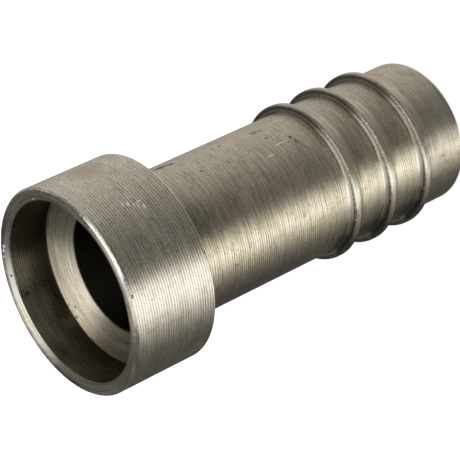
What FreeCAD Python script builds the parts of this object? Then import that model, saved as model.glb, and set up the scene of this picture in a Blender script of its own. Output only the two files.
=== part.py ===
"""Weld-on hose barb, turned from the bar as one piece.

A thick collar carries a shallow socket that slips over a pipe or tube and is welded to it.
Behind the collar runs a plain shank, then three barbs that grip a hose, then a plain nose.
A passage runs right through. The nose stands on the origin and the socket opens upward,
along +Z. Lengths are in millimetres and angles in degrees.
"""

import FreeCAD, Part
import os
import Sketcher

NODE = "hose_barb"

# Driving dimensions: name, value, meaning.
SIZES = (
    ("overall_length", 75.8, "nose end to socket mouth"),
    ("collar_diameter", 35.0, "outside of the collar"),
    ("collar_length", 15.8, "socket mouth to the back of the collar"),
    ("collar_back_bevel", 0.3, "broken edge at the back of the collar"),
    ("collar_root_bevel", 0.4, "small bevel in the corner between collar and shank"),
    ("tail_diameter", 24.9, "shank and hose tail, between the barbs"),
    ("tail_wall", 1.95, "wall of the tail, from its outside to the passage"),
    ("bore_bevel", 0.3, "broken edge of the passage at the nose"),
    ("nose_radius", 1.2, "rounded outer edge of the nose"),
    ("collar_wall", 2.25, "wall of the collar round the socket that takes the pipe"),
    ("socket_depth", 7.7, "socket mouth to the outer edge of the shoulder"),
    ("shoulder_angle", 25.0, "lean of the shoulder between socket and passage"),
    ("mouth_radius", 0.8, "rounded outer edge of the mouth"),
    ("mouth_land", 0.1, "flat ring left at the very front of the mouth"),
    ("mouth_angle", 26.0, "inward lean of the rim inside that ring"),
    ("mouth_lip_bevel", 0.15, "broken edge where the rim meets the socket wall"),
    ("barb_count", 3, "number of barbs"),
    ("barb_pitch", 7.95, "distance between barbs"),
    ("barb_height", 1.35, "how far each crest stands above the tail"),
    ("barb_land", 1.13, "flat width of each crest"),
    ("barb_angle", 45.0, "slope of each barb towards the nose"),
    ("barb_root_bevel", 0.3, "small bevel in the corner under each steep face"),
    ("barb_foot_radius", 1.1, "inside corner at the foot of each slope"),
    ("barb_front_bevel", 0.2, "broken edge between steep face and crest"),
    ("nose_length", 10.7, "nose end to the steep face of the nearest barb"),
    ("cutter_overrun", 2.0, "how far the boring profile runs past both ends"),
)

# Radii and heights worked out from the driving dimensions.
COLLAR = "sizes.collar_diameter / 2"
TAIL = "sizes.tail_diameter / 2"
BORE = f"{TAIL} - sizes.tail_wall"
SOCKET = f"{COLLAR} - sizes.collar_wall"
CREST = f"{TAIL} + sizes.barb_height"
WALL_MIDDLE = f"{TAIL} - sizes.tail_wall / 2"
RIM = f"{COLLAR} - sizes.mouth_radius - sizes.mouth_land"
MOUTH = "sizes.overall_length"
COLLAR_BACK = "sizes.overall_length - sizes.collar_length"
SHOULDER_OUTER = "sizes.overall_length - sizes.socket_depth"
SHOULDER_INNER = f"{SHOULDER_OUTER} - (({SOCKET}) - ({BORE})) * tan(sizes.shoulder_angle)"
RIM_INNER = f"{MOUTH} - (({RIM}) - ({SOCKET})) * tan(sizes.mouth_angle)"
STEEP_FACE = "sizes.nose_length"
CREST_BACK = "sizes.nose_length - sizes.barb_land"
SLOPE_FOOT = f"{CREST_BACK} - sizes.barb_height / tan(sizes.barb_angle)"
BARB_END = f"{SLOPE_FOOT} - sizes.barb_foot_radius"


def add_sizes(doc):
    """Write the driving dimensions into a spreadsheet, one named cell each."""
    sheet = doc.addObject("Spreadsheet::Sheet", "sizes")
    for row, (name, value, meaning) in enumerate(SIZES, start=1):
        sheet.set(f"A{row}", name)
        sheet.set(f"B{row}", str(value))
        sheet.set(f"C{row}", meaning)
        sheet.setAlias(f"B{row}", name)
    doc.recompute()
    return sheet


def origin_feature(body, role):
    """Return the body's own plane or axis with this role."""
    return next(item for item in body.Origin.OriginFeatures if item.Role == role)


def add_half_section(body, name, corners):
    """Draw a closed half section through the axis, each corner held by its radius and height."""
    sketch = body.newObject("Sketcher::SketchObject", name)
    sketch.AttachmentSupport = [(origin_feature(body, "XZ_Plane"), "")]
    sketch.MapMode = "FlatFace"
    points = [
        FreeCAD.Vector(sketch.evalExpression(radius), sketch.evalExpression(height), 0)
        for _, radius, height in corners
    ]
    last = len(corners) - 1
    for index, point in enumerate(points):
        following = points[0 if index == last else index + 1]
        sketch.addGeometry(Part.LineSegment(point, following), False)
    for index, (label, radius, height) in enumerate(corners):
        previous = last if index == 0 else index - 1
        sketch.addConstraint(Sketcher.Constraint("Coincident", previous, 2, index, 1))
        hold_corner(sketch, index, label + "_radius", "DistanceX", radius)
        hold_corner(sketch, index, label + "_height", "DistanceY", height)
    return sketch


def hold_corner(sketch, index, name, direction, expression):
    """Tie one coordinate of a corner to the sizes, or lay the corner on the axis."""
    if expression == "0":
        axis = -2 if direction == "DistanceX" else -1
        sketch.addConstraint(Sketcher.Constraint("PointOnObject", index, 1, axis))
        return
    start = float(sketch.evalExpression(expression))
    number = sketch.addConstraint(Sketcher.Constraint(direction, -1, 1, index, 1, start))
    sketch.renameConstraint(number, name)
    sketch.setExpression(f"Constraints.{name}", expression)


def round_corner(sketch, first, second, name, expression):
    """Round the corner between two lines of a half section with a radius tied to the sizes."""
    middles = []
    for line in (sketch.Geometry[first], sketch.Geometry[second]):
        middles.append((line.StartPoint + line.EndPoint) * 0.5)
    radius = float(sketch.evalExpression(expression))
    sketch.fillet(first, second, middles[0], middles[1], radius, True, True)
    arc = next(n for n, item in enumerate(sketch.Geometry) if isinstance(item, Part.ArcOfCircle))
    number = sketch.addConstraint(Sketcher.Constraint("Radius", arc, radius))
    sketch.renameConstraint(number, name)
    sketch.setExpression(f"Constraints.{name}", expression)


def add_turned(body, kind, name, sketch):
    """Turn a half section through a full circle about the part's axis."""
    feature = body.newObject(kind, name)
    feature.Profile = sketch
    feature.ReferenceAxis = (sketch, ["V_Axis"])
    feature.Angle = 360.0
    sketch.Visibility = False
    body.Document.recompute()
    return feature


def rings(feature, radius, heights):
    """Find the circular edges of a feature with this radius at these heights."""
    names = []
    for number, edge in enumerate(feature.Shape.Edges, start=1):
        curve = edge.Curve
        if not isinstance(curve, Part.Circle):
            continue
        same_radius = abs(curve.Radius - radius) < 1e-4
        same_height = any(abs(curve.Center.z - height) < 1e-4 for height in heights)
        if same_radius and same_height:
            names.append(f"Edge{number}")
    if not names:
        raise RuntimeError(f"{feature.Name} has no circular edge of radius {radius}")
    return names


def dress_rings(body, kind, name, base, radius, heights, size):
    """Round or bevel rings of the part; each ring is found by its radius and height."""
    feature = body.newObject(kind, name)
    found = rings(base, base.evalExpression(radius), [float(height) for height in heights])
    feature.Base = (base, found)
    sized = "Radius" if kind.endswith("Fillet") else "Size"
    feature.setExpression(sized, size)
    body.Tip = feature
    body.Document.recompute()
    return feature


def add_blank(body):
    """The outside of the bar before the barbs: tail, shank and collar."""
    corners = (
        ("nose_centre", "0", "0"),
        ("nose_edge", TAIL, "0"),
        ("collar_root", TAIL, COLLAR_BACK),
        ("collar_back", COLLAR, COLLAR_BACK),
        ("mouth_edge", COLLAR, MOUTH),
        ("mouth_centre", "0", MOUTH),
    )
    sketch = add_half_section(body, "blank_section", corners)
    return add_turned(body, "PartDesign::Revolution", "blank", sketch)


def add_barbs(body):
    """One barb, steep towards the collar and sloped towards the nose, repeated up the tail."""
    corners = (
        ("steep_base", WALL_MIDDLE, STEEP_FACE),
        ("crest_front", CREST, STEEP_FACE),
        ("crest_back", CREST, CREST_BACK),
        ("slope_foot", TAIL, SLOPE_FOOT),
        ("barb_end", TAIL, BARB_END),
        ("end_base", WALL_MIDDLE, BARB_END),
    )
    sketch = add_half_section(body, "barb_section", corners)
    round_corner(sketch, 2, 3, "foot_radius", "sizes.barb_foot_radius")
    barb = add_turned(body, "PartDesign::Revolution", "barb", sketch)
    row = body.newObject("PartDesign::LinearPattern", "barb_row")
    row.Originals = [barb]
    row.Direction = (origin_feature(body, "Z_Axis"), [""])
    row.Mode = "Spacing"
    row.setExpression("Offset", "sizes.barb_pitch")
    row.setExpression("Occurrences", "sizes.barb_count")
    body.Tip = row
    body.Document.recompute()
    return row


def add_passage(body):
    """Bore the passage, the leaning shoulder, the socket and the rim that leans into it."""
    below = "-sizes.cutter_overrun"
    above = f"{MOUTH} + sizes.cutter_overrun"
    corners = (
        ("below_centre", "0", below),
        ("below_bore", BORE, below),
        ("shoulder_inner", BORE, SHOULDER_INNER),
        ("shoulder_outer", SOCKET, SHOULDER_OUTER),
        ("rim_inner", SOCKET, RIM_INNER),
        ("rim_outer", RIM, MOUTH),
        ("above_rim", RIM, above),
        ("above_centre", "0", above),
    )
    sketch = add_half_section(body, "passage_section", corners)
    solid_volume = body.Shape.Volume
    passage = add_turned(body, "PartDesign::Groove", "passage", sketch)
    if passage.Shape.Volume > 0.7 * solid_volume:
        raise RuntimeError("the passage removed too little metal")
    return passage


def add_edges(body, base):
    """Round and bevel the edges and inside corners, from the mouth down to the nose."""
    def height(text):
        return body.evalExpression(text)

    count = int(height("sizes.barb_count"))
    steps = [number * height("sizes.barb_pitch") for number in range(count)]
    steep_faces = [height(STEEP_FACE) + step for step in steps]
    fillet = "PartDesign::Fillet"
    bevel = "PartDesign::Chamfer"
    edges = (
        (fillet, "mouth_rounding", COLLAR, [height(MOUTH)], "sizes.mouth_radius"),
        (bevel, "mouth_lip", SOCKET, [height(RIM_INNER)], "sizes.mouth_lip_bevel"),
        (bevel, "collar_back_edge", COLLAR, [height(COLLAR_BACK)], "sizes.collar_back_bevel"),
        (bevel, "collar_root", TAIL, [height(COLLAR_BACK)], "sizes.collar_root_bevel"),
        (bevel, "barb_roots", TAIL, steep_faces, "sizes.barb_root_bevel"),
        (bevel, "barb_fronts", CREST, steep_faces, "sizes.barb_front_bevel"),
        (fillet, "nose_rounding", TAIL, [0.0], "sizes.nose_radius"),
        (bevel, "bore_edge", BORE, [0.0], "sizes.bore_bevel"),
    )
    for kind, name, radius, heights, size in edges:
        base = dress_rings(body, kind, name, base, radius, heights, size)
    return base


def check(doc, body):
    """Stop if any feature failed or the piece isn't one sound solid."""
    for item in doc.Objects:
        if {"Invalid", "Error"} & set(item.State):
            raise RuntimeError(f"{item.Label} failed: {item.State}")
    shape = body.Shape
    if shape.isNull() or not shape.isValid() or len(shape.Solids) != 1:
        raise RuntimeError(f"{body.Label} isn't one valid solid")


def main():
    """Build the part and write its one solid."""
    doc = FreeCAD.newDocument("weld_on_hose_barb")
    add_sizes(doc)
    body = doc.addObject("PartDesign::Body", NODE)
    body.Label = NODE
    add_blank(body)
    add_barbs(body)
    passage = add_passage(body)
    add_edges(body, passage)
    doc.recompute()
    check(doc, body)
    os.makedirs("parts", exist_ok=True)
    body.Shape.exportStep(f"parts/{NODE}.step")
    box = body.Shape.BoundBox
    print(f"{NODE}: {box.XLength:.2f} x {box.YLength:.2f} x {box.ZLength:.2f} mm")
    print(f"volume {body.Shape.Volume:.1f} mm3, {len(body.Shape.Faces)} faces")


main()
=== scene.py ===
"""Looks of the weld-on hose barb: turned steel with feed grooves, stains, small nicks and painted
light.

The barb is one turned piece, so one closed mesh stands for the solid. Its half section is drawn
as a wire, its corners are rounded, feed grooves are cut into it, and it is spun round the axis.
Lengths are in millimetres in the part's classes, and in metres in the studio's.
"""

import logging
import math
import random
from dataclasses import dataclass, field
from enum import Enum
from typing import Any

import bmesh
import bpy
from mathutils import Matrix, Vector


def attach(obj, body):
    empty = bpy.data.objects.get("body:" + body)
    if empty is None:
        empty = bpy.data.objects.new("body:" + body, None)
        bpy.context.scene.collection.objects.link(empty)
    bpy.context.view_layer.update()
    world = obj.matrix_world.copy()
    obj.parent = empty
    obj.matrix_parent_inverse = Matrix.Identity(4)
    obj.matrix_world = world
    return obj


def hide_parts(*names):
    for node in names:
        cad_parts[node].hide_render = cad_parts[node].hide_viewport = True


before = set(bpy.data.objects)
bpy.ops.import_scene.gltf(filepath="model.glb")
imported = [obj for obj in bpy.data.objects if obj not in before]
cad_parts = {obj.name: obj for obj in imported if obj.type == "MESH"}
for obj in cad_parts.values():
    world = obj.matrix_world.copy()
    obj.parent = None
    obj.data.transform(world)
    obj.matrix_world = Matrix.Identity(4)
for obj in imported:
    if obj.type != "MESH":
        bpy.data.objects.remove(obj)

LOG = logging.getLogger("hose_barb")

# Metres in a millimetre, faces round the part, and the gap within which points are merged
MM = 0.001
AROUND = 150
MERGE = 1e-7

# A turn is an angle round the axis, in degrees. It is 0 on the upper outline that the camera
# sees, grows over the side that faces the camera, and starts again from BEHIND - 360 past BEHIND.
UPPER_EDGE = -14.63
BEHIND = 165.0

# How far out a mark starts to show, and how far out it is full, as shares of its size
MARK_BORDER = (1.15, 0.7)

# Segments of a small, a plain and a wide rounding
SMALL_ARC = 3
ARC = 4
WIDE_ARC = 8

# Directions in the half section, from a surface into the metal
INWARD = Vector((-1.0, 0.0, 0.0))
DOWN = Vector((0.0, 0.0, -1.0))

Socketable = Any
Pair = tuple[float, float]
Triple = tuple[float, float, float]
Colour = Triple


class MarkKind(Enum):
    """What a mark is made of, or what painted light it is, with its colour, in the order they are
    laid.
    """

    BROWN = (0.15, 0.10, 0.055)
    TAN = (0.52, 0.40, 0.26)
    # Olive specks, and a painted olive reflection in the socket
    OLIVE_SPECK_AND_REFLECTION = (0.40, 0.37, 0.23)
    # Pale flecks, and painted glints on the crests
    FLECK_AND_GLINT = (0.88, 0.86, 0.80)
    DARK = (0.035, 0.03, 0.024)
    RUST = (0.27, 0.165, 0.09)
    BLACKISH = (0.027, 0.021, 0.015)
    # Painted highlight on the barbs' crests
    PAINTED_CREST_HIGHLIGHT = (0.90, 0.89, 0.85)


@dataclass(frozen=True)
class Feed:
    """Feed grooves that the turning tool leaves in one cut.

    Attributes:
        pitch: distance between ridges.
        depth: depth of an average groove.
        rows: points per groove.
        seed: seed of the small differences between grooves.
        spread: shallowest and deepest groove, as shares of the depth.
    """

    pitch: float
    depth: float
    rows: int
    seed: int
    spread: tuple[float, float] = (0.6, 1.25)


@dataclass
class HalfSection:
    """The wire of the half section while it is being drawn, corner by corner."""

    mesh: bmesh.types.BMesh = field(default_factory=bmesh.new)
    roundings: list[tuple[bmesh.types.BMVert, float, int]] = field(default_factory=list)
    last: bmesh.types.BMVert | None = None
    first: bmesh.types.BMVert | None = None
    slack: float = 0.002

    def corner(
        self, radius: float, height: float, rounding: float = 0.0, steps: int = SMALL_ARC
    ) -> None:
        """Add a corner and the line that leads to it.

        Args:
            radius: distance from the axis.
            height: height above the nose.
            rounding: radius that the corner gets.
            steps: segments of that rounding.
        """
        vert = self.mesh.verts.new((radius * MM, 0.0, height * MM))
        if self.last is not None:
            self.mesh.edges.new((self.last, vert))
        else:
            self.first = vert
        self.last = vert
        if rounding > 0.0:
            self.roundings.append((vert, rounding, steps))

    def close(self) -> None:
        """Join the last corner to the first."""
        self.mesh.edges.new((self.last, self.first))

    def round_corners(self) -> None:
        """Round the corners that ask for it, with an arc that meets both lines."""
        for vert, rounding, steps in self.roundings:
            ends = [edge.other_vert(vert).co - vert.co for edge in vert.link_edges]
            turn = math.pi - ends[0].angle(ends[1])
            bmesh.ops.bevel(
                self.mesh,
                geom=[vert],
                offset=rounding * math.tan(turn / 2) * MM,
                offset_type="OFFSET",
                segments=steps,
                profile=0.5,
                affect="VERTICES",
                material=-1,
                clamp_overlap=False,
            )
        self.roundings.clear()

    def lines_between(self, low: Pair, high: Pair) -> list[bmesh.types.BMEdge]:
        """Find the lines that lie within a box of the half section.

        Args:
            low: smallest radius and height.
            high: largest radius and height.

        Returns:
            The edges with both ends inside the box.
        """
        slack = self.slack

        def inside(vert: bmesh.types.BMVert) -> bool:
            """Tell whether a vertex lies in the box."""
            sides = zip((vert.co.x / MM, vert.co.z / MM), low, high)
            return all(least - slack <= place <= most + slack for place, least, most in sides)

        return [edge for edge in self.mesh.edges if all(inside(vert) for vert in edge.verts)]

    def longest(self, low: Pair, high: Pair) -> bmesh.types.BMEdge:
        """Return the longest line within a box of the half section."""
        return max(self.lines_between(low, high), key=lambda edge: edge.calc_length())

    def divide(self, edge: bmesh.types.BMEdge, cuts: int) -> list[bmesh.types.BMVert]:
        """Divide a line evenly.

        Args:
            edge: the line.
            cuts: number of new points on it.

        Returns:
            The new points, in order from the line's first end.
        """
        start = edge.verts[0].co.copy()
        made = bmesh.ops.subdivide_edges(self.mesh, edges=[edge], cuts=cuts)
        points = [item for item in made["geom_inner"] if isinstance(item, bmesh.types.BMVert)]
        return sorted(points, key=lambda vert: (vert.co - start).length)

    def groove(self, edge: bmesh.types.BMEdge, feed: Feed, towards: Vector) -> int:
        """Cut feed grooves into a line, each a shallow scallop between two ridges.

        Args:
            edge: the line that gets the grooves.
            feed: the grooves.
            towards: a direction from the line into the metal.

        Returns:
            The number of grooves.
        """
        start, end = edge.verts[0].co.copy(), edge.verts[1].co.copy()
        along = (end - start).normalized()
        metal = Vector((along.z, 0.0, -along.x))
        if metal.dot(towards) < 0:
            metal.negate()
        count = max(1, round((end - start).length / MM / feed.pitch))
        points = self.divide(edge, count * feed.rows - 1)
        chance = random.Random(feed.seed)
        depths = [feed.depth * chance.uniform(*feed.spread) for _ in range(count)]
        for number, vert in enumerate(points, start=1):
            groove, step = divmod(number, feed.rows)
            share = step / feed.rows
            if step:
                bowl = 4 * share * (1 - share)
                vert.co += metal * (depths[groove] * bowl * MM)
        return count


@dataclass
class Collar:
    """The thick end: grooved outside, bevelled back edge and the rim round the mouth."""

    radius: float = 17.5
    back: float = 60.0
    mouth: float = 75.8
    back_rounding: float = 0.3
    edge_height: float = 75.13
    brow_radius: float = 17.17
    brow_height: float = 75.57
    ridge_radius: float = 16.6
    lean: float = 26.0
    lip: float = 0.15
    mouth_rounding: float = 0.2
    socket_radius: float = 15.25
    back_rings: int = 7
    wall_feed: Feed = Feed(pitch=0.4865, depth=0.036, rows=4, seed=11)
    rim_feed: Feed = Feed(pitch=0.30, depth=0.010, rows=3, seed=7)

    def rim_inner_height(self) -> float:
        """Height of the inner edge of the leaning rim."""
        across = self.ridge_radius - self.socket_radius
        return self.mouth - across * math.tan(math.radians(self.lean))

    def draw(self, section: HalfSection) -> None:
        """Draw the collar's corners, from its back to the inside of the mouth.

        Args:
            section: the wire of the half section.
        """
        section.corner(self.radius, self.back, self.back_rounding)
        section.corner(self.radius, self.edge_height, self.mouth_rounding)
        section.corner(self.brow_radius, self.brow_height, self.mouth_rounding)
        section.corner(self.ridge_radius, self.mouth, self.mouth_rounding)
        section.corner(self.socket_radius, self.rim_inner_height(), self.lip)

    def cut(self, section: HalfSection) -> None:
        """Cut the feed grooves and divide the back face.

        Args:
            section: the wire of the half section.
        """
        wall = section.longest((self.radius, self.back), (self.radius, self.mouth))
        LOG.info("collar: %d grooves", section.groove(wall, self.wall_feed, INWARD))
        back = section.longest((0.0, self.back), (self.radius, self.back))
        section.divide(back, self.back_rings)
        rim = section.longest(
            (self.socket_radius, self.rim_inner_height() - self.lip),
            (self.ridge_radius, self.mouth),
        )
        LOG.info("rim: %d rings", section.groove(rim, self.rim_feed, DOWN))


@dataclass
class WeldSocket:
    """The socket for the tube, its leaning shoulder and the passage behind it."""

    radius: float = 15.25
    floor: float = 68.1
    passage_radius: float = 10.5
    lean: float = 25.0
    corner_rounding: float = 0.25
    edge_rounding: float = 0.12
    nose_bevel: float = 0.3
    wall_rings: int = 17
    passage_rings: int = 14
    shoulder_feed: Feed = Feed(pitch=0.36, depth=0.024, rows=3, seed=5)

    def shoulder_inner(self) -> float:
        """Height of the shoulder's inner edge."""
        across = self.radius - self.passage_radius
        return self.floor - across * math.tan(math.radians(self.lean))

    def draw(self, section: HalfSection) -> None:
        """Draw the inside corners, from the socket's floor down to the nose.

        Args:
            section: the wire of the half section.
        """
        section.corner(self.radius, self.floor, self.corner_rounding)
        section.corner(self.passage_radius, self.shoulder_inner(), self.edge_rounding)
        section.corner(self.passage_radius, self.nose_bevel)
        section.corner(self.passage_radius + self.nose_bevel, 0.0)

    def cut(self, section: HalfSection) -> None:
        """Cut the shoulder's rings and divide the walls.

        Args:
            section: the wire of the half section.
        """
        inner = (self.passage_radius, self.shoulder_inner())
        shoulder = section.longest(inner, (self.radius, self.floor))
        LOG.info("shoulder: %d rings", section.groove(shoulder, self.shoulder_feed, DOWN))
        wall = section.longest((self.radius, self.floor), (self.radius, Collar.mouth))
        section.divide(wall, self.wall_rings)
        passage = section.longest((self.passage_radius, 0.0), inner)
        section.divide(passage, self.passage_rings)


@dataclass
class HoseTail:
    """Nose, barbs and shank: everything that the hose slides over."""

    radius: float = 12.45
    crest: float = 13.8
    collar_back: float = 60.0
    nose_rounding: float = 1.2
    barb_count: int = 3
    barb_pitch: float = 7.95
    barb_land: float = 1.13
    first_steep: float = 10.7
    foot_rounding: float = 1.1
    crest_back_rounding: float = 0.3
    crest_front_rounding: float = 0.38
    root_rounding: float = 0.42
    collar_root_rounding: float = 0.5
    groove_pitch: float = 0.45
    groove_depth: float = 0.010
    nose_depth: float = 0.004
    groove_rows: int = 3
    first_seed: int = 20

    def steep_faces(self) -> list[float]:
        """Heights of the barbs' steep faces, from the nose up."""
        return [self.first_steep + number * self.barb_pitch for number in range(self.barb_count)]

    def draw(self, section: HalfSection) -> None:
        """Draw the outside corners, from the nose up to the collar.

        Args:
            section: the wire of the half section.
        """
        section.corner(self.radius, 0.0, self.nose_rounding, WIDE_ARC)
        for steep in self.steep_faces():
            crest_back = steep - self.barb_land
            foot = crest_back - (self.crest - self.radius)
            section.corner(self.radius, foot, self.foot_rounding, ARC)
            section.corner(self.crest, crest_back, self.crest_back_rounding)
            section.corner(self.crest, steep, self.crest_front_rounding, ARC)
            section.corner(self.radius, steep, self.root_rounding)
        section.corner(self.radius, self.collar_back, self.collar_root_rounding, ARC)

    def cut(self, section: HalfSection) -> None:
        """Cut the fine feed grooves into the nose, the walls between the barbs and the shank.

        Args:
            section: the wire of the half section.
        """
        ends = [0.0, *self.steep_faces(), self.collar_back]
        for number, (low, high) in enumerate(zip(ends, ends[1:])):
            wall = section.longest((self.radius, low), (self.radius, high))
            depth = self.groove_depth if number else self.nose_depth
            seed = self.first_seed + number
            feed = Feed(self.groove_pitch, depth, self.groove_rows, seed)
            LOG.info("tail wall %d: %d grooves", number, section.groove(wall, feed, INWARD))


@dataclass
class Signal:
    """One number on its way through a shader, with arithmetic."""

    sheet: "ShaderSheet"
    socket: bpy.types.NodeSocket

    def __add__(self, other: Socketable) -> "Signal":
        """Return the sum."""
        return self.sheet.maths("ADD", self, other)

    def __sub__(self, other: Socketable) -> "Signal":
        """Return the difference."""
        return self.sheet.maths("SUBTRACT", self, other)

    def __rsub__(self, other: Socketable) -> "Signal":
        """Return the difference, reflected."""
        return self.sheet.maths("SUBTRACT", other, self)

    def __mul__(self, other: Socketable) -> "Signal":
        """Return the product."""
        return self.sheet.maths("MULTIPLY", self, other)

    def __truediv__(self, other: Socketable) -> "Signal":
        """Return the quotient."""
        return self.sheet.maths("DIVIDE", self, other)

    def __rtruediv__(self, other: Socketable) -> "Signal":
        """Return the quotient, reflected."""
        return self.sheet.maths("DIVIDE", other, self)

    __radd__ = __add__
    __rmul__ = __mul__

    def most(self, other: Socketable) -> "Signal":
        """Return the larger of two."""
        return self.sheet.maths("MAXIMUM", self, other)

    def ramp(self, low: float, high: float) -> "Signal":
        """Rise smoothly from 0 at low to 1 at high, or fall where low is the larger.

        Args:
            low: where the result is 0.
            high: where it is 1.

        Returns:
            The ramp.
        """
        node = self.sheet.node(
            "ShaderNodeMapRange",
            {"interpolation_type": "SMOOTHSTEP"},
            {"Value": self, "From Min": low, "From Max": high, "To Min": 0.0, "To Max": 1.0},
        )
        return Signal(self.sheet, node.outputs["Result"])

    def between(self, low: float, high: float, soft: float) -> "Signal":
        """Return 1 between two values and 0 outside, with soft flanks."""
        return self.ramp(low - soft, low + soft) * self.ramp(high + soft, high - soft)

    def wave(self, start: float, pitch: float) -> "Signal":
        """Rise to 1 at the start and every pitch beyond it, and fall to -1 between."""
        return self.sheet.maths("COSINE", (self - start) * (2 * math.pi / pitch))


class ShaderSheet:
    """A node tree that is written like a calculation."""

    def __init__(self, tree: bpy.types.NodeTree) -> None:
        """Start from an empty tree."""
        self.tree = tree
        self.tree.nodes.clear()

    def node(
        self,
        kind: str,
        settings: dict[str, Any] | None = None,
        sockets: dict[str | int, Socketable] | None = None,
    ) -> bpy.types.Node:
        """Add a node, set it, and then fill or link its sockets.

        Args:
            kind: the node's type.
            settings: properties of the node; "stops" holds the stops of a ramp.
            sockets: values or links for inputs, by name or number.

        Returns:
            The node.
        """
        made = self.tree.nodes.new(kind)
        for name, value in (settings or {}).items():
            if name == "stops":
                self.set_stops(made.color_ramp, value)
            else:
                setattr(made, name, value)
        for key, value in (sockets or {}).items():
            target = made.inputs[key]
            if isinstance(value, Signal):
                self.tree.links.new(value.socket, target)
            elif isinstance(value, bpy.types.NodeSocket):
                self.tree.links.new(value, target)
            else:
                target.default_value = value
        return made

    @staticmethod
    def set_stops(ramp: bpy.types.ColorRamp, stops: list[tuple[float, tuple[float, ...]]]) -> None:
        """Give a colour ramp its stops.

        Args:
            ramp: the colour ramp.
            stops: a place and a colour each.
        """
        while len(ramp.elements) < len(stops):
            ramp.elements.new(0.5)
        for element, (place, colour) in zip(ramp.elements, stops):
            element.position = place
            element.color = (*colour, 1.0)

    def maths(self, operation: str, *values: Socketable) -> Signal:
        """Return the result of a Math node."""
        node = self.node("ShaderNodeMath", {"operation": operation}, dict(enumerate(values)))
        return Signal(self, node.outputs[0])

    def mix(
        self, factor: Socketable, first: Socketable, second: Socketable
    ) -> bpy.types.NodeSocket:
        """Mix two colours.

        Args:
            factor: share of the second colour.
            first: a colour or its socket.
            second: a colour or its socket.

        Returns:
            The socket of the mixed colour.
        """
        below, above = (
            paint if isinstance(paint, bpy.types.NodeSocket) else (*paint, 1.0)
            for paint in (first, second)
        )
        settings = {"data_type": "RGBA", "clamp_factor": True}
        node = self.node("ShaderNodeMix", settings, {0: factor, 6: below, 7: above})
        return node.outputs[2]

    def vector(self, operation: str, *values: Socketable) -> bpy.types.NodeSocket:
        """Return the vector result of a Vector Math node."""
        node = self.node("ShaderNodeVectorMath", {"operation": operation}, dict(enumerate(values)))
        return node.outputs["Vector"]

    def noise(
        self, place: Socketable, scale: float, detail: float = 2.0, roughness: float = 0.5
    ) -> Signal:
        """Lay fractal noise.

        Args:
            place: where it is read.
            scale: how many features it has in a unit of length.
            detail: number of finer layers.
            roughness: how strong the finer layers are.

        Returns:
            The noise, about 0 to 1.
        """
        node = self.node(
            "ShaderNodeTexNoise",
            {"noise_dimensions": "3D"},
            {"Vector": place, "Scale": scale, "Detail": detail, "Roughness": roughness},
        )
        return Signal(self, node.outputs[0])


def blank_material(name: str) -> tuple[bpy.types.Material, ShaderSheet]:
    """Make a material.

    Args:
        name: what it is called.

    Returns:
        The material and its empty sheet.
    """
    made = bpy.data.materials.new(name)
    made.use_nodes = True
    return made, ShaderSheet(made.node_tree)


def link_mesh(name: str, mesh: bmesh.types.BMesh) -> bpy.types.Object:
    """Turn a bmesh into an object of the scene.

    Args:
        name: name of the object and of its mesh.
        mesh: the shape, which is freed.

    Returns:
        The object.
    """
    data = bpy.data.meshes.new(name)
    mesh.to_mesh(data)
    mesh.free()
    made = bpy.data.objects.new(name, data)
    bpy.context.scene.collection.objects.link(made)
    return made


@dataclass(frozen=True)
class Mark:
    """A stain, speck, nick or scratch, or painted light, at one place of the turned surface.

    Attributes:
        kind: what it is made of, or what painted light it is.
        turn: where it is round the axis, in degrees; past BEHIND it counts back from 360.
        height: where it is above the nose.
        radius: how far it is from the axis.
        across: half its size round the part.
        along: half its size along the part.
        strength: how far it covers the steel.
        ragged: how frayed it is.
        deep: how far from its radius it reaches.
    """

    kind: MarkKind
    turn: float
    height: float
    radius: float
    across: float
    along: float
    strength: float = 1.0
    ragged: float = 0.8
    deep: float = 0.9

    def mask(self, sheet: ShaderSheet, spot: bpy.types.NodeSocket, rough_edge: Signal) -> Signal:
        """Build the mark's mask.

        Args:
            sheet: the shader it belongs to.
            spot: the place as radius, turn in degrees and height.
            rough_edge: noise about 0 that frays the mark.

        Returns:
            A signal that is the mark's strength inside it and 0 outside.
        """
        turn = self.turn if self.turn < BEHIND else self.turn - 360
        per_degree = math.radians(self.radius) / self.across
        scale = (1 / self.deep, per_degree, 1 / self.along)
        shift = (-self.radius / self.deep, -turn * per_degree, -self.height / self.along)
        local = sheet.vector("MULTIPLY_ADD", spot, scale, shift)
        middle = sheet.node("ShaderNodeVectorMath", {"operation": "LENGTH"}, {0: local})
        reach = Signal(sheet, middle.outputs["Value"]) + rough_edge * self.ragged
        return reach.ramp(*MARK_BORDER) * self.strength


def marks_of(kind: MarkKind, *rows: tuple[float, ...]) -> list[Mark]:
    """Make marks of one kind from rows of the numbers that Mark takes after it."""
    return [Mark(kind, *row) for row in rows]


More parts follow.
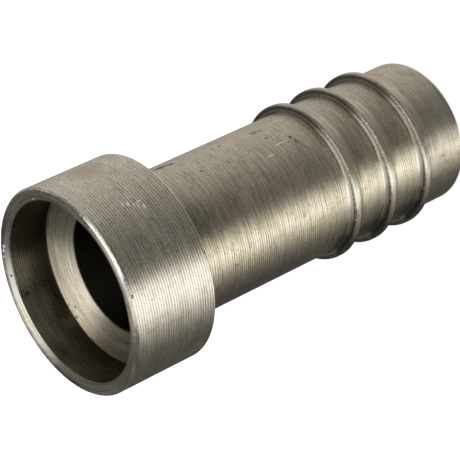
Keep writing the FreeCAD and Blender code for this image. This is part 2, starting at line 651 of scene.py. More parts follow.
COLLAR_MARKS = (
    *marks_of(MarkKind.BROWN, (9.0, 67.0, 17.5, 2.6, 2.9, 0.2, 1.6)),
    *marks_of(MarkKind.TAN, (13.0, 67.2, 17.5, 3.2, 2.6, 0.4, 1.6)),
    *marks_of(
        MarkKind.OLIVE_SPECK_AND_REFLECTION, (52.0, 73.9, 17.5, 0.26, 0.28, 0.8), (135.0, 72.5, 17.5, 0.22, 0.22, 0.5),
    ),
    *marks_of(
        MarkKind.FLECK_AND_GLINT, (46.5, 68.7, 17.5, 0.55, 0.14, 1.0, 0.7),
        (47.6, 67.9, 17.5, 0.40, 0.14, 1.0, 0.7), (49.0, 67.0, 17.5, 0.22, 0.15, 1.0, 0.5),
        (50.5, 66.6, 17.5, 0.55, 0.15, 1.0, 0.7), (48.5, 66.1, 17.5, 0.17, 0.40, 1.0, 0.6),
        (52.5, 65.8, 17.5, 0.45, 0.14, 1.0, 0.7),
    ),
    *marks_of(
        MarkKind.DARK, (86.5, 60.2, 17.5, 0.45, 0.16, 0.9, 0.5),
        (89.5, 60.15, 17.5, 0.4, 0.1, 0.8, 0.5),
    ),
    *marks_of(
        MarkKind.RUST, (73.5, 62.7, 17.5, 0.7, 0.9, 0.18, 1.8),
        (146.0, 62.5, 17.5, 1.8, 1.5, 0.3, 1.6),
    ),
)
RIM_MARKS = (
    *marks_of(
        MarkKind.FLECK_AND_GLINT, (298.5, 75.6, 16.25, 0.30, 1.0, 0.95, 0.7, 0.2),
        (295.5, 75.6, 16.35, 0.40, 1.0, 0.95, 0.7, 0.16),
        (291.5, 75.6, 16.35, 0.20, 1.0, 0.8, 0.7, 0.13),
        (356.0, 75.31, 15.6, 0.3, 1.0, 0.7, 0.8, 0.15), (9.0, 75.6, 17.2, 0.2, 0.2, 0.6, 0.6, 0.3),
    ),
    *marks_of(
        MarkKind.DARK, (279.5, 75.38, 15.74, 0.19, 1.0, 1.0, 0.1, 0.19),
        (91.0, 75.0, 17.5, 0.3, 0.16, 0.8, 0.5), (82.0, 75.17, 17.48, 0.22, 0.13, 0.8, 0.5),
    ),
)
SOCKET_MARKS = (
    # Blackish patches on the socket's wall and shoulder.
    *marks_of(
        MarkKind.BLACKISH, (249.0, 69.4, 15.25, 2.2, 1.5, 0.6, 1.8),
        (266.0, 73.8, 15.25, 0.4, 0.4, 0.7), (303.0, 71.5, 15.25, 3.6, 4.0, 0.45, 1.0),
        (318.0, 71.5, 15.25, 3.6, 4.0, 0.45, 1.0), (245.0, 67.57, 14.11, 0.2, 1.0, 0.7, 0.6, 0.2),
        (239.5, 67.92, 14.87, 0.28, 1.0, 0.8, 0.6, 0.24),
    ),
    *marks_of(
        MarkKind.BROWN, (243.0, 69.2, 15.25, 2.6, 1.2, 0.4, 1.8),
        (311.0, 66.4, 11.6, 2.9, 1.0, 0.5, 0.6, 0.22),
    ),
    *marks_of(
        MarkKind.RUST, (252.0, 70.4, 15.25, 1.8, 1.3, 0.26, 2.4),
        (261.0, 71.0, 15.25, 1.1, 0.9, 0.26, 2.0),
    ),
    # Painted olive reflection on the socket's wall.
    *marks_of(
        MarkKind.OLIVE_SPECK_AND_REFLECTION, (275.0, 73.9, 15.25, 1.6, 1.5, 0.3, 1.8),
        (281.0, 73.3, 15.25, 2.6, 1.7, 0.22, 1.8),
    ),
    *marks_of(
        MarkKind.TAN, (224.0, 67.6, 14.35, 3.4, 1.2, 0.6, 1.4, 0.8),
        (205.0, 67.7, 14.3, 3.6, 1.2, 0.75, 1.4, 0.8), (190.0, 67.7, 14.6, 2.2, 1.2, 0.7, 1.2, 0.7),
    ),
)
TAIL_MARKS = (
    *marks_of(
        MarkKind.BROWN, (6.0, 53.0, 12.45, 0.5, 1.3, 0.9, 2.0),
        (8.2, 51.2, 12.45, 0.35, 0.8, 0.9, 2.0), (24.2, 48.15, 12.45, 0.18, 0.2, 0.6, 1.2),
        (25.8, 46.3, 12.45, 0.16, 0.25, 0.6, 1.2), (36.5, 44.1, 12.45, 0.2, 0.22, 0.7, 1.2),
        (66.5, 57.2, 12.45, 2.2, 1.8, 0.3, 2.0), (33.2, 49.3, 12.45, 0.25, 0.3, 0.8, 1.2),
        (30.0, 34.9, 12.45, 0.3, 0.3, 0.7, 1.2), (39.0, 31.5, 12.45, 0.45, 0.35, 0.7, 1.6),
        (45.0, 31.2, 12.45, 0.6, 0.4, 0.6, 1.8), (71.5, 45.4, 12.45, 1.2, 1.6, 0.3, 2.0),
    ),
    *marks_of(
        MarkKind.RUST, (2.2, 41.9, 12.45, 0.22, 0.25, 0.7),
        (14.0, 42.0, 12.45, 0.25, 0.35, 0.8, 1.2), (13.8, 43.4, 12.45, 0.2, 0.2, 0.7),
        (17.2, 35.3, 12.45, 0.35, 0.8, 0.7, 1.8), (19.0, 34.1, 12.45, 0.3, 0.6, 0.7, 1.8),
        (65.5, 35.8, 12.45, 0.4, 0.28, 0.8, 1.2), (75.8, 35.8, 12.45, 1.5, 0.25, 0.5, 1.8),
        (88.5, 37.5, 12.45, 0.2, 0.16, 0.6, 1.4), (93.5, 35.1, 12.45, 0.4, 0.14, 0.65, 1.6),
        (99.0, 36.5, 12.45, 0.3, 0.13, 0.65, 1.2), (99.0, 51.9, 12.45, 0.2, 0.16, 0.6, 1.4),
        (99.5, 53.3, 12.45, 0.2, 0.2, 0.5, 1.4), (112.3, 51.4, 12.45, 0.35, 0.3, 0.6, 1.8),
        (134.0, 30.0, 12.45, 0.4, 0.3, 0.8, 1.0),
    ),
    *marks_of(
        MarkKind.FLECK_AND_GLINT, (40.5, 33.8, 12.45, 0.12, 1.3, 1.0, 0.3),
        (47.0, 37.1, 12.45, 0.12, 0.8, 1.0, 0.3), (111.0, 53.8, 12.45, 0.15, 0.15, 0.9, 0.4),
        (81.0, 18.45, 13.8, 0.13, 0.12, 1.0, 0.2), (87.0, 18.45, 13.8, 0.13, 0.12, 1.0, 0.2),
    ),
    *marks_of(MarkKind.DARK, (63.0, 9.1, 13.4, 0.8, 0.4, 0.7)),
    # Painted highlights on the crests where they mirror the bright light.
    *marks_of(
        MarkKind.PAINTED_CREST_HIGHLIGHT, (99.0, 26.35, 13.75, 3.2, 0.22, 0.85, 1.1, 0.6),
        (99.0, 18.4, 13.75, 3.0, 0.22, 0.85, 1.1, 0.6),
        (98.0, 10.45, 13.75, 2.8, 0.2, 0.6, 1.1, 0.6),
    ),
)


class Surfaces:
    """A place on the part, and masks that are 1 on one of its surfaces and 0 off it.

    Radii and heights are in millimetres, and turns in degrees.

    Attributes:
        mm: the place, in millimetres.
        spot: the place as radius, turn and height.
        passage: the way through.
        inner: all that is inside the mouth, but not the passage.
        shoulder: the leaning shoulder.
        collar: the outside of the collar.
        back_edge: the collar's edge towards the barbs.
        rim: the rim round the mouth.
        rounding: the rounded outer edge of the rim.
        nose: the plain end below the barbs.
        on_barbs: the whole row of barbs.
        last_barb: the barb nearest the nose, and all below it.
        beyond: distance beyond the nearest steep face, towards the collar.
        crest: the crests of the barbs.
        slope: the slopes of the barbs.
        walls: the row of barbs without its slopes.
        shining: the stretch of turn that mirrors the bright light.
    """

    def __init__(self, sheet: ShaderSheet) -> None:
        """Read the place from the Object coordinates, and find its surface.

        Args:
            sheet: the shader that the place is for.
        """
        place = sheet.node("ShaderNodeTexCoord").outputs["Object"]
        self.mm = sheet.vector("SCALE", place)
        self.mm.node.inputs["Scale"].default_value = 1 / MM
        split = sheet.node("ShaderNodeSeparateXYZ", None, {0: self.mm})
        self.x, self.y, self.height = (Signal(sheet, split.outputs[axis]) for axis in "XYZ")
        self.radius = sheet.maths("SQRT", self.x * self.x + self.y * self.y)
        self.turn = UPPER_EDGE - sheet.maths("DEGREES", sheet.maths("ARCTAN2", self.y, self.x))
        radius, height = self.radius, self.height
        round_axis = {0: radius, 1: self.turn, 2: height}
        self.spot = sheet.node("ShaderNodeCombineXYZ", None, round_axis).outputs[0]

        self.passage = radius.ramp(10.9, 10.52)
        self.inner = radius.ramp(15.8, 15.5) * height.ramp(65.4, 65.8) * (1 - self.passage)
        self.shoulder = self.inner * height.ramp(68.3, 68.1)
        self.collar = radius.ramp(16.9, 17.3) * height.ramp(59.9, 60.3)
        self.back_edge = radius.ramp(17.1, 17.25) * height.ramp(60.35, 60.2)
        self.rim = height.ramp(75.02, 75.12)
        self.rounding = radius.ramp(16.6, 16.75) * self.rim
        self.nose = height.ramp(8.0, 7.2)
        self.on_barbs = height.ramp(28.9, 28.5) * height.ramp(7.0, 7.6)
        self.last_barb = height.ramp(13.5, 12.5)
        pitch, half = HoseTail.barb_pitch, HoseTail.barb_pitch / 2
        shifted = height + (half - HoseTail.first_steep + pitch)
        self.beyond = sheet.maths("MODULO", shifted, pitch) - half
        by_steep = self.beyond.between(-0.40, 0.3, 0.08)
        self.crest = by_steep * radius.ramp(13.2, 13.45) * self.on_barbs
        self.slope = self.beyond.between(-3.3, -0.5, 0.2) * self.on_barbs
        self.walls = self.on_barbs - self.slope
        self.shining = self.turn.between(84.0, 128.0, 8.0)


class Unevenness:
    """Small differences of the steel, as noises over the part.

    Attributes:
        lines: drawn lines round the part, about 0 on average as the next two.
        hairs: finer lines.
        bands: broader lines.
        patches: where the feed marks show more.
        broad: slow change over the whole part.
        blotch: stains, from 0 to 1.
        grain: grain of the surface, about 0 on average.
        frayed: what frays the marks, about 0 on average.
        dots: tiny dots, from 0 to 1.
        drawn: lines, hairs and grain together.
    """

    def __init__(self, sheet: ShaderSheet, at: Surfaces) -> None:
        """Lay the noises over the part.

        Args:
            sheet: the shader that they belong to.
            at: the place.
        """

        def lines(around: float, along: float, detail: float, roughness: float) -> Signal:
            """Lay noise in lines round the part.

            Args:
                around: its scale round the part, per millimetre.
                along: its scale along the part, per millimetre.
                detail: number of finer layers.
                roughness: how strong the finer layers are.

            Returns:
                The noise, about 0 to 1.
            """
            ring = at.height + at.radius * 0.8
            sockets = {0: at.x * around, 1: at.y * around, 2: ring * along}
            place = sheet.node("ShaderNodeCombineXYZ", None, sockets).outputs[0]
            return sheet.noise(place, 1.0, detail, roughness)

        self.lines = lines(0.09, 3.4, 3.0, 0.65) - 0.5
        self.hairs = lines(0.3, 8.0, 2.0, 0.6) - 0.5
        self.bands = lines(0.06, 0.8, 2.0, 0.6) - 0.5
        self.patches = lines(0.16, 0.16, 2.0, 0.6).ramp(0.5, 0.64)
        self.broad = sheet.noise(at.mm, 0.16, 3.0, 0.6) - 0.5
        self.blotch = sheet.noise(at.mm, 0.5, 3.0, 0.65)
        self.grain = sheet.noise(at.mm, 4.5, 2.0, 0.65) - 0.5
        self.frayed = sheet.noise(at.mm, 1.4, 3.0, 0.7) - 0.5
        self.dots = sheet.noise(at.mm, 4.0, 1.0, 0.5)
        self.drawn = self.lines * 1.5 + self.hairs * 0.9 + self.grain * 1.0


class SteelPaint:
    """The steel's colours and painted light, laid one over another on the surfaces of the part.

    The numbers in its methods are shares of a tone or a colour, and turns in degrees.
    """

    def __init__(self, steel: "TurnedSteel", sheet: ShaderSheet) -> None:
        """Find the surfaces, noises and marks; start from bare steel with a painted highlight tint.

        Args:
            steel: the finish.
            sheet: its shader.
        """
        self.steel = steel
        self.sheet = sheet
        self.at = Surfaces(sheet)
        self.uneven = Unevenness(sheet, self.at)
        self.marks: dict[MarkKind, Signal] = {}
        tone = self.outside_tone()
        self.colour = self.shaded(tone, steel.tail)
        # Painted highlight tint: gold over the stretch of turn that mirrors the bright light.
        self.lay(self.at.shining * 0.4, self.shaded(tone, steel.highlight_gold))
        self.lay(self.at.collar + self.at.nose * 0.5, self.shaded(tone, steel.collar))

    def lay(self, share: Socketable, paint: Socketable) -> None:
        """Lay a paint over the colour so far, by its share."""
        self.colour = self.sheet.mix(share, self.colour, paint)

    def shaded(self, tone: Signal, base: Colour) -> bpy.types.NodeSocket:
        """Spread a colour from dark to light round its middle.

        Args:
            tone: 0 for darkest, 0.5 for the colour itself, 1 for lightest.
            base: the colour in the middle.

        Returns:
            The shaded colour.
        """
        spread = self.steel.spread
        dark = [part * (1 - spread) * warmth for part, warmth in zip(base, self.steel.warmth)]
        light = [min(part * (1 + spread), 1.0) for part in base]
        return self.sheet.mix(tone, dark, light)

    def streaks(self) -> Signal:
        """Work out the tone of the drawn lines and the grain.

        Returns:
            The tone, about 0 on average.
        """
        at, uneven = self.at, self.uneven
        matte = at.turn.ramp(36.0, 18.0)
        smooth_walls = at.walls * at.turn.ramp(60.0, 70.0) * 0.3
        drawn = (
            uneven.lines * (0.88 - at.collar * 0.43 + at.on_barbs * 0.02)
            + uneven.hairs * (1.25 - at.collar * 0.45)
        )
        drawn = drawn * (1 - matte * 0.4) * (1 - smooth_walls)
        grained = uneven.grain * (0.9 + at.collar * 0.3 - at.shining * 0.4 + matte * 0.6)
        return (drawn + grained) * (1 - at.nose * 0.45)

    def feed_lines(self) -> Signal:
        """Work out the tone of the feed lines, coarse on the collar and fine on the tail, with
        painted shading.

        Returns:
            The tone, about 0 on average.
        """
        at, turn = self.at, self.at.turn
        # Painted groove shading: coarse lines are stronger over two stretches of turn, fine lines
        # over the bright one.
        painted_groove_shade = turn.between(42.0, 58.0, 8.0) + turn.between(82.0, 118.0, 5.0)
        calm = at.height.ramp(66.0, 71.0) * turn.ramp(32.0, 14.0)
        coarse = at.height.wave(*self.steel.collar_ridges) * at.collar
        coarse = coarse * (0.2 + painted_groove_shade * 0.1 - calm * 0.12)
        fine = at.height.wave(*self.steel.tail_ridges) * (1 - at.collar) * (1 - at.nose)
        fine = fine * at.radius.ramp(12.7, 12.55)
        fine = fine * (0.03 + self.uneven.patches * 0.16 + at.shining * 0.12)
        return coarse + fine

    def light_bands(self) -> Signal:
        """Work out the tone of the bands that the light makes along the part.

        Returns:
            The tone, 0 where there is no band.
        """
        at, turn, tail = self.at, self.at.turn, 1 - self.at.collar
        tail_band = tail * turn.between(84.0, 98.0, 4.0) * 0.11
        collar_band = at.collar * turn.between(86.0, 93.0, 2.0) * 0.1
        by_collar = tail * at.height.ramp(44.0, 50.0) * turn.between(58.0, 82.0, 5.0) * 0.12
        wall_band = at.walls * turn.between(22.0, 58.0, 6.0) * 0.1
        nose_band = at.nose * turn.between(88.0, 113.0, 4.0) * 0.08
        return collar_band - tail_band - by_collar - wall_band - nose_band

    def outside_tone(self) -> Signal:
        """Work out the tone of the tail and the collar.

        Returns:
            The tone, 0.5 in the middle.
        """
        at, uneven = self.at, self.uneven
        bands = uneven.bands * (0.05 + at.collar * 0.25 + at.nose * 0.35)
        lines = self.streaks() + uneven.broad * 0.15 + self.feed_lines()
        return 0.5 + lines + bands + self.light_bands()

    def lay_rim(self) -> None:
        """Lay on the rim's rings, painted highlights and shade, and a darker far half."""
        at, steel, uneven = self.at, self.steel, self.uneven
        turn, radius = at.turn, at.radius
        tone = 0.5 + uneven.drawn * 1.1 + radius.wave(*steel.rim_ridges) * 0.1
        self.lay(at.rim, self.shaded(tone, steel.rim))
        lip = radius.between(15.2, 15.36, 0.04) * at.height.ramp(74.9, 75.05)
        # Painted highlights: a band on the far rim and a line on the lip, cut back over two
        # stretches of turn.
        lip_highlight_cut = turn.between(35.0, 95.0, 8.0) * 0.7 + turn.between(-145.0, -98.0, 6.0) * 0.4
        painted_rim_highlight = at.rim * turn.between(-98.0, -54.0, 8.0) * 0.6
        self.lay(painted_rim_highlight + lip * (0.7 - lip_highlight_cut), steel.painted_highlight)
        # A blotchy darkening of the outer rim on its far half, where y is above 2 mm.
        patchy = 0.65 + uneven.blotch.ramp(0.42, 0.62) * 0.25
        darkened_far_rim = radius.ramp(16.0, 16.4) * at.rim * at.y.ramp(2.0, 11.0) * patchy
        # Painted highlight on the outer edge over turns 38 to 94.
        painted_edge_highlight = at.rounding * (1 - darkened_far_rim) * turn.between(38.0, 94.0, 8.0)
        self.lay(painted_edge_highlight * radius.ramp(17.08, 17.2) * 0.6, steel.painted_highlight)
        # Painted shade on the near side of the outer edge.
        painted_brow_shade = at.rounding * radius.ramp(17.2, 17.08) * turn.between(38.0, 104.0, 8.0)
        self.lay(painted_brow_shade * 0.75, steel.rim_darkening)
        # Painted shade: the near side of the rim in near black.
        painted_near_rim_shade = (1 - at.rounding) * at.rim * turn.between(44.0, 95.0, 8.0)
        self.lay(painted_near_rim_shade * 0.85, steel.passage)
        self.lay(darkened_far_rim, steel.rim_darkening)

    def lay_weather(self) -> None:
        """Lay on the patina, a painted highlight low on the steep faces and browner feet."""
        at, steel = self.at, self.steel
        turn, radius, beyond = at.turn, at.radius, at.beyond
        aged = self.uneven.blotch.ramp(0.5, 0.72) * (0.32 - at.collar * 0.07) * (1 - at.rim)
        self.lay(aged, steel.patina)
        # Painted highlight low on the steep faces over turns 58 to 86.
        painted_low_wall_highlight = beyond.between(-0.1, 0.5, 0.1) * radius.between(12.55, 13.0, 0.1) * at.on_barbs
        self.lay(painted_low_wall_highlight * turn.between(58.0, 86.0, 6.0) * (0.6 - at.last_barb * 0.5), steel.painted_highlight)
        # Browner at the feet of the two lower steep faces over turns 91 to 118.
        foot = beyond.between(-0.1, 0.6, 0.15) * radius.ramp(13.0, 12.7)
        browner_foot = foot * at.height.ramp(24.0, 22.0) * at.on_barbs * turn.between(91.0, 118.0, 4.0)
        self.lay(browner_foot * 0.4, steel.patina)

    def lay_painted_shade(self) -> None:
        """Lay painted shade: darker steel in corners and on what faces away from the light."""
        at, turn, radius, beyond = self.at, self.at.turn, self.at.radius, self.at.beyond
        face = beyond.between(-0.1, 0.5, 0.1) * radius.ramp(12.8, 13.3) * at.on_barbs
        root = beyond.between(-0.2, 0.4, 0.1) * radius.ramp(12.85, 12.6) * at.on_barbs
        steep = beyond.between(-0.1, 0.6, 0.1) * radius.ramp(12.5, 12.65) * at.on_barbs
        under = turn.between(136.0, 160.0, 5.0) * (1 - at.collar) * (1 - at.nose)
        share = (
            face * (0.55 + turn.ramp(62.0, 42.0) * 0.25 - turn.between(79.0, 98.0, 5.0) * 0.3)
            + root * turn.ramp(86.0, 74.0) * 0.8
            + under * (0.2 + at.on_barbs * 0.4)
            + steep * turn.between(108.0, 160.0, 6.0) * 0.4
            + at.slope * turn.between(84.0, 95.0, 4.0) * 0.42
            + at.slope * at.last_barb * turn.between(90.0, 106.0, 3.0) * 0.32
            + at.back_edge * turn.between(84.0, 104.0, 3.0) * 0.6
        )
        self.lay(share, self.steel.painted_shade)

    def lay_gleams(self) -> None:
        """Lay bright steel where faces, slopes and the collar's back edge catch the light."""
        at, turn, beyond = self.at, self.at.turn, self.at.beyond
        lit = beyond.ramp(1.7, 0.3) * beyond.ramp(-0.15, 0.0) * at.radius.ramp(13.3, 13.0)
        share = (
            lit * at.on_barbs * turn.between(86.0, 122.0, 4.0) * 0.8
            + at.slope * turn.between(33.0, 78.0, 5.0) * 0.5
            + at.slope * at.last_barb * turn.between(58.0, 80.0, 5.0) * 0.4
            + at.back_edge * turn.between(36.0, 75.0, 6.0) * 0.9
        )
        self.lay(share, self.steel.gleam)

    def lay_crests(self) -> None:
        """Lay grey patches on the barbs' crests, with painted shade over some turns."""
        at = self.at
        # Painted shade: the crests take more grey over turns 33 to 77 and are darker over 24 to 48.
        crest_shade_stretch = at.turn.between(33.0, 77.0, 6.0)
        broken = self.sheet.noise(at.mm, 2.4, 2.0, 0.7).ramp(0.45, 0.62)
        crest_grey_and_shade = 0.1 + broken * (0.6 - crest_shade_stretch * 0.3) + crest_shade_stretch * 0.5
        tone = 0.5 + self.uneven.grain - at.turn.between(24.0, 48.0, 6.0) * 0.4
        self.lay(at.crest * crest_grey_and_shade, self.shaded(tone, self.steel.crest))

    def lay_inside(self) -> None:
        """Lay on the shoulder, and the socket's wall with painted light and shade."""
        at, steel, uneven, height = self.at, self.steel, self.uneven, self.at.height
        drawn = uneven.drawn * 0.85 + at.radius.wave(*steel.shoulder_ridges) * 0.14
        self.lay(at.shoulder, self.shaded(0.5 + drawn, steel.shoulder))
        turned = height.wave(*steel.socket_ridges) * 0.55
        tone = 0.45 + drawn * 1.3 + uneven.broad * 1.5 + turned
        # Painted light: a lighter wall near the mouth over some turns.
        painted_light_near_mouth = height.ramp(70.8, 74.2) * at.turn.between(-130.0, -62.0, 8.0) * 0.6
        mouth = self.shaded(tone, steel.painted_lit_socket)
        wall = self.sheet.mix(painted_light_near_mouth, self.shaded(tone, steel.socket), mouth)
        # Painted shade: the wall darkens to near black towards the floor.
        wall = self.sheet.mix(height.ramp(72.2, 68.6) * 0.72, wall, steel.passage)
        self.lay(at.inner * (1 - at.shoulder) * height.ramp(75.3, 75.0), wall)
        # Painted shade: a dark line in the corner between wall and shoulder.
        painted_corner_shade = at.radius.between(15.08, 15.4, 0.07) * height.ramp(68.5, 68.2) * at.inner
        self.lay(painted_corner_shade * 0.85, steel.passage)

    def add_mark(self, kind: MarkKind, mask: Signal) -> None:
        """Join a mask to the marks of its kind."""
        self.marks[kind] = self.marks[kind].most(mask) if kind in self.marks else mask

    def lay_marks(self) -> None:
        """Lay on the placed marks, scattered specks, painted glints on crests and ochre dots."""
        at, uneven = self.at, self.uneven
        for mark in (*COLLAR_MARKS, *RIM_MARKS, *SOCKET_MARKS, *TAIL_MARKS):
            self.add_mark(mark.kind, mark.mask(self.sheet, at.spot, uneven.frayed))
        scatter = self.sheet.noise(at.mm, 3.0, 2.0, 0.75) + (uneven.blotch - 0.5) * 0.3
        self.add_mark(MarkKind.BROWN, (scatter - at.inner * 0.1).ramp(0.625, 0.70) * 0.65)
        # Painted glints on the crests over turns 45 to 125.
        painted_crest_glints = uneven.dots.ramp(0.61, 0.68) * at.crest * at.turn.between(45.0, 125.0, 8.0)
        self.add_mark(MarkKind.FLECK_AND_GLINT, painted_crest_glints * 0.9)
        plain_tail = (1 - at.collar) * (1 - at.on_barbs) * (1 - at.inner)
        ochre = uneven.dots.ramp(0.60, 0.67) * plain_tail * at.turn.between(62.0, 124.0, 8.0)
        self.add_mark(MarkKind.RUST, ochre * uneven.blotch.ramp(0.42, 0.6) * 0.5)
        for kind in MarkKind:
            self.lay(self.marks[kind], kind.value)

    def roughness(self, stained: Signal) -> Signal:
        """Work out the roughness, which rises on stains and follows the drawn lines.

        Args:
            stained: mask of what covers the steel.

        Returns:
            The roughness.
        """
        at, uneven = self.at, self.uneven
        return (
            self.steel.roughness - at.collar * 0.03 + at.shoulder * 0.05 + uneven.grain * 0.12
            + stained * 0.2 + at.passage * 0.2
            + at.crest * 0.08 - at.rounding * 0.06 + at.nose * 0.04 - at.on_barbs * 0.02
            + (uneven.lines + uneven.hairs) * (1 - at.inner) * 0.11
        )

    def bumped(self) -> bpy.types.NodeSocket:
        """Raise drawn lines, grain, flecks and painted glints, and sink dark nicks, in millimetres.

        Returns:
            The normal of the bumped surface.
        """
        at, uneven = self.at, self.uneven
        relief = (
            uneven.lines * 0.010 + uneven.hairs * 0.006 + uneven.grain * 0.006
            + self.marks[MarkKind.FLECK_AND_GLINT] * 0.02 - self.marks[MarkKind.DARK] * 0.08
            + at.rounding * uneven.frayed * 0.05 + at.crest * uneven.grain * 0.04
        )
        sockets = {"Strength": 1.0, "Distance": MM, "Height": relief}
        return self.sheet.node("ShaderNodeBump", None, sockets).outputs["Normal"]


@dataclass(frozen=True)
class TurnedSteel:
    """Bare turned carbon steel, warm grey, with feed lines, stains, specks and painted light and
    shade.

    Each pair of ridges is the place of one ridge and the distance to the next.
    """

    name: str = "turned_steel"
    tail: Colour = (0.57, 0.52, 0.42)
    collar: Colour = (0.61, 0.572, 0.48)
    rim: Colour = (0.54, 0.50, 0.42)
    # Grey of the crests, which over some turns stands for painted shade
    crest: Colour = (0.38, 0.36, 0.32)
    shoulder: Colour = (0.55, 0.50, 0.41)
    socket: Colour = (0.145, 0.134, 0.104)
    # Lighter wall colour of the painted light near the mouth
    painted_lit_socket: Colour = (0.34, 0.31, 0.235)
    # Pale grey of the painted highlights on the rim, its lip and the steep faces
    painted_highlight: Colour = (0.76, 0.745, 0.70)
    # Dark grey of painted shade
    painted_shade: Colour = (0.10, 0.093, 0.083)
    # Golden tint of the painted highlight
    highlight_gold: Colour = (0.60, 0.545, 0.385)
    gleam: Colour = (0.95, 0.90, 0.76)
    # Dark grey of the rim's darker far half, and of painted shade on its near edge
    rim_darkening: Colour = (0.17, 0.155, 0.14)
    patina: Colour = (0.34, 0.275, 0.185)
    # Near black of the passage, also used as painted shade on the rim and in the socket
    passage: Colour = (0.02, 0.017, 0.013)
    spread: float = 0.6
    warmth: Colour = (1.06, 1.0, 0.86)
    collar_ridges: Pair = (60.3, 0.49)
    tail_ridges: Pair = (26.95, 0.4521)
    socket_ridges: Pair = (68.1, 0.40)
    shoulder_ridges: Pair = (15.0, 0.326)
    rim_ridges: Pair = (15.4, 0.3)
    roughness: float = 0.38
    anisotropy: float = 0.8
    grain_turn: float = 0.25

    def material(self) -> bpy.types.Material:
        """Build the material.

        Returns:
            The material, which reads only Object coordinates.
        """
        made, sheet = blank_material(self.name)
        paint = SteelPaint(self, sheet)
        paint.lay_rim()
        paint.lay_weather()
        paint.lay_painted_shade()
        paint.lay_gleams()
        paint.lay_crests()
        paint.lay_inside()
        paint.lay_marks()
        paint.lay(paint.at.passage, self.passage)
        marks = paint.marks
        stained = marks[MarkKind.BROWN].most(marks[MarkKind.RUST]).most(marks[MarkKind.DARK])
        sockets = {
            "Base Color": paint.colour,
            "Metallic": (1 - stained * 0.4) * (1 - marks[MarkKind.FLECK_AND_GLINT] * 0.8),
            "Roughness": paint.roughness(stained),
            "Anisotropic": self.anisotropy,
            "Anisotropic Rotation": self.grain_turn,
            "Normal": paint.bumped(),
        }
        shader = sheet.node("ShaderNodeBsdfPrincipled", None, sockets)
        sheet.node("ShaderNodeOutputMaterial", None, {"Surface": shader.outputs[0]})
        return made


@dataclass
class HoseBarb:
    """The whole turned piece."""

    collar: Collar = field(default_factory=Collar)
    socket: WeldSocket = field(default_factory=WeldSocket)
    tail: HoseTail = field(default_factory=HoseTail)
    steel: TurnedSteel = field(default_factory=TurnedSteel)

    def build(self) -> bpy.types.Object:
        """Draw the half section, cut its grooves and spin it.

        Returns:
            The finished piece, at the origin.
        """
        section = HalfSection()
        for part in (self.tail, self.collar, self.socket):
            part.draw(section)
        section.close()
        section.round_corners()
        for part in (self.collar, self.socket, self.tail):
            part.cut(section)
        mesh = section.mesh
        bmesh.ops.spin(
            mesh,
            geom=mesh.verts[:] + mesh.edges[:],
            cent=(0.0, 0.0, 0.0),
            axis=(0.0, 0.0, 1.0),
            angle=2 * math.pi,
            steps=AROUND,
            use_merge=True,
        )
        bmesh.ops.remove_doubles(mesh, verts=mesh.verts[:], dist=MERGE)
        bmesh.ops.recalc_face_normals(mesh, faces=mesh.faces[:])
        for face in mesh.faces:
            face.smooth = True
        open_edges = sum(len(edge.link_faces) != 2 for edge in mesh.edges)
        piece = link_mesh("turned_barb", mesh)
        LOG.info("turned_barb: %d faces, %d open edges", len(piece.data.polygons), open_edges)
        return piece

    def dress(self, piece: bpy.types.Object) -> None:
        """Give the piece its finish and tie it to the frame.

        Args:
            piece: the piece that build() made.
        """
        piece.data.materials.append(self.steel.material())
        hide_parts("hose_barb")
        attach(piece, "root")


@dataclass(frozen=True)
class Lamp:
    """A soft rectangular lamp that faces the part.

    Azimuth and elevation are in degrees, from +X and from the horizon, and its other sizes are
    in metres. Radiance is how bright its face looks.
    """

    name: str
    azimuth: float
    elevation: float
    distance: float
    width: float
    height: float
    radiance: float
    aim: Triple = (0.0, 0.0, 0.04)

    def hang(self) -> None:
        """Hang the lamp."""
        data = bpy.data.lights.new(self.name, "AREA")
        data.shape = "RECTANGLE"
        data.size, data.size_y = self.width, self.height
        data.energy = self.radiance * math.pi * self.width * self.height
        lamp = bpy.data.objects.new(self.name, data)
        side, up = math.radians(self.azimuth), math.radians(self.elevation)
        away = Vector((math.cos(side) * math.cos(up), math.sin(side) * math.cos(up), math.sin(up)))
        lamp.location = Vector(self.aim) + away * self.distance
        lamp.rotation_euler = away.to_track_quat("Z", "Y").to_euler()
        bpy.context.scene.collection.objects.link(lamp)


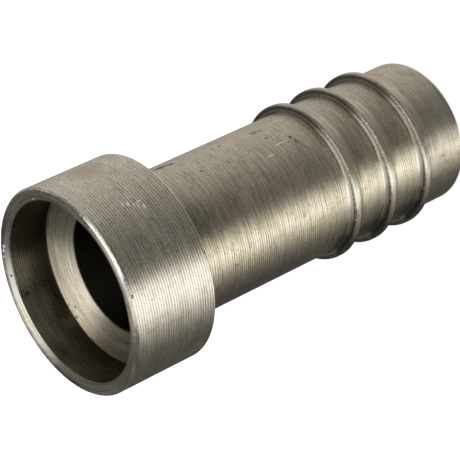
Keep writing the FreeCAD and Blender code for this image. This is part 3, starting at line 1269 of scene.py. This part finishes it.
@dataclass
class Studio:
    """Floor, lamps, reflection card and camera.

    The camera's axes are unit vectors, and its place is in millimetres from the mouth along them.
    The card's levels are pairs of a direction round the part, in degrees, and a brightness.
    """

    floor_size: float = 12.0
    floor_drop: float = 0.0001
    floor_colour: Colour = (0.62, 0.62, 0.62)
    floor_glow: float = 0.75
    room_light: float = 0.15
    lens: float = 177.63
    sensor: float = 36.0
    sight: Pair = (0.01, 100.0)
    camera_right: Triple = (-0.4304, -0.4940, -0.7555)
    camera_up: Triple = (0.9027, -0.2356, -0.3602)
    camera_back: Triple = (0.0, -0.8369, 0.5473)
    camera_place: Triple = (25.72, 9.99, 351.83)
    axis_start: float = 76.02
    card_radius: float = 2.5
    card_sides: int = 96
    card_drop: float = 0.00005
    card_strength: float = 2.4
    part_radius: float = 0.013
    mirror_steps: int = 3
    lamps: tuple[Lamp, ...] = (
        Lamp("key", -136.0, 28.0, 0.7, 0.36, 0.62, 1.5),
        Lamp("front", -60.0, 58.0, 0.8, 0.8, 0.45, 2.7),
        Lamp("top", 118.0, 83.0, 0.9, 0.62, 0.62, 1.75),
        Lamp("side", 10.0, 12.0, 0.9, 1.0, 0.35, 0.7),
    )
    card_levels: tuple[Pair, ...] = (
        (-180.0, 0.045), (-140.0, 0.036), (-118.0, 0.045), (-103.0, 0.062), (-93.0, 0.095),
        (-81.0, 0.21), (-71.0, 0.37), (-60.0, 0.63), (-48.0, 0.80), (-36.0, 0.70), (-26.0, 0.34),
        (-16.0, 0.09), (-6.0, 0.055), (6.0, 0.048), (20.0, 0.06), (40.0, 0.105), (55.0, 0.165),
        (65.0, 0.205), (90.0, 0.25), (115.0, 0.29), (140.0, 0.255), (165.0, 0.15), (180.0, 0.045),
    )

    def add_camera(self) -> None:
        """Stand the camera where the photographer's was."""
        axes = (self.camera_right, self.camera_up, self.camera_back)
        right, up, back = (Vector(axis).normalized() for axis in axes)
        across, above, away = self.camera_place
        place = (right * across + up * above + back * away + Vector((0, 0, self.axis_start))) * MM
        data = bpy.data.cameras.new("camera")
        data.lens = self.lens
        data.sensor_width = self.sensor
        data.clip_start, data.clip_end = self.sight
        camera = bpy.data.objects.new("camera", data)
        turn = Matrix((right, up, back)).transposed().to_4x4()
        camera.matrix_world = Matrix.Translation(place) @ turn
        bpy.context.scene.collection.objects.link(camera)
        bpy.context.scene.camera = camera

    def add_floor(self) -> None:
        """Lay the plain floor, white to the camera and in reflections, with the part's shadow."""
        mesh = bmesh.new()
        bmesh.ops.create_grid(mesh, x_segments=1, y_segments=1, size=self.floor_size / 2)
        bmesh.ops.translate(mesh, verts=mesh.verts[:], vec=(0, 0, -self.floor_drop))
        floor = link_mesh("floor", mesh)
        made, sheet = blank_material("floor")
        path = sheet.node("ShaderNodeLightPath")
        camera, glossy, through = (
            Signal(sheet, path.outputs[ray])
            for ray in ("Is Camera Ray", "Is Glossy Ray", "Is Transmission Ray")
        )
        strength = camera.most(glossy).most(through) * self.floor_glow
        matt = sheet.node("ShaderNodeBsdfDiffuse", None, {"Color": (*self.floor_colour, 1)})
        glow = sheet.node("ShaderNodeEmission", None, {"Strength": strength})
        both = sheet.node("ShaderNodeAddShader", None, {0: matt.outputs[0], 1: glow.outputs[0]})
        sheet.node("ShaderNodeOutputMaterial", None, {"Surface": both.outputs[0]})
        floor.data.materials.append(made)

    @staticmethod
    def card_colour(level: float) -> Colour:
        """Colour of the card at a brightness: the darker, the warmer."""
        return (level, level * (0.966 + 0.07 * level), level * (0.92 + 0.17 * level))

    def card_share(self, sheet: ShaderSheet) -> Signal:
        """Find the turn of the part that mirrors a place on the card.

        The part is round, so the turn and the mirrored direction depend on each other, and
        a few rounds of the same step bring them together.

        Args:
            sheet: the card's shader.

        Returns:
            The direction as a share of the whole turn, from 0 to 1.
        """
        place = sheet.node("ShaderNodeTexCoord").outputs["Object"]
        split = sheet.node("ShaderNodeSeparateXYZ", None, {0: place})
        x, y = Signal(sheet, split.outputs["X"]), Signal(sheet, split.outputs["Y"])
        away = sheet.maths("SQRT", x * x + y * y)
        side = sheet.maths("ARCTAN2", x, 0 - y)
        near = sheet.maths("MINIMUM", self.part_radius / away, 1.0)
        half = side / 2
        for _ in range(self.mirror_steps):
            half = (side + sheet.maths("ARCSINE", near * sheet.maths("SINE", half))) / 2
        return half / math.pi + 0.5

    def add_card(self) -> None:
        """Lay a graded card round the part, which only shows as a reflection in the metal."""
        mesh = bmesh.new()
        bmesh.ops.create_circle(
            mesh, cap_ends=True, segments=self.card_sides, radius=self.card_radius
        )
        bmesh.ops.translate(mesh, verts=mesh.verts[:], vec=(0, 0, -self.card_drop))
        card = link_mesh("graded_card", mesh)
        made, sheet = blank_material("graded_card")
        stops = [
            ((degrees + 180.0) / 360.0, self.card_colour(level))
            for degrees, level in self.card_levels
        ]
        ramp = sheet.node("ShaderNodeValToRGB", {"stops": stops}, {0: self.card_share(sheet)})
        sockets = {"Color": ramp.outputs[0], "Strength": self.card_strength}
        glow = sheet.node("ShaderNodeEmission", None, sockets)
        sheet.node("ShaderNodeOutputMaterial", None, {"Surface": glow.outputs[0]})
        card.data.materials.append(made)
        for ray in ("camera", "diffuse", "transmission", "volume_scatter", "shadow"):
            setattr(card, "visible_" + ray, False)

    def light(self) -> None:
        """Hang the lamps and set the dim surroundings."""
        for lamp in self.lamps:
            lamp.hang()
        world = bpy.data.worlds.new("room")
        bpy.context.scene.world = world
        world.use_nodes = True
        sheet = ShaderSheet(world.node_tree)
        sockets = {"Color": (1, 1, 1, 1), "Strength": self.room_light}
        room = sheet.node("ShaderNodeBackground", None, sockets)
        sheet.node("ShaderNodeOutputWorld", None, {"Surface": room.outputs[0]})

    def build(self) -> None:
        """Build the whole studio."""
        self.add_floor()
        self.add_card()
        self.light()
        self.add_camera()


def main() -> None:
    """Build the part and the studio."""
    logging.basicConfig(level=logging.INFO, format="%(name)s %(message)s")
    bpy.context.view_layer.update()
    Studio().build()
    barb = HoseBarb()
    barb.dress(barb.build())
    bpy.context.scene.view_settings.view_transform = "Standard"
    bpy.context.view_layer.update()


if __name__ == "__main__":
    main()
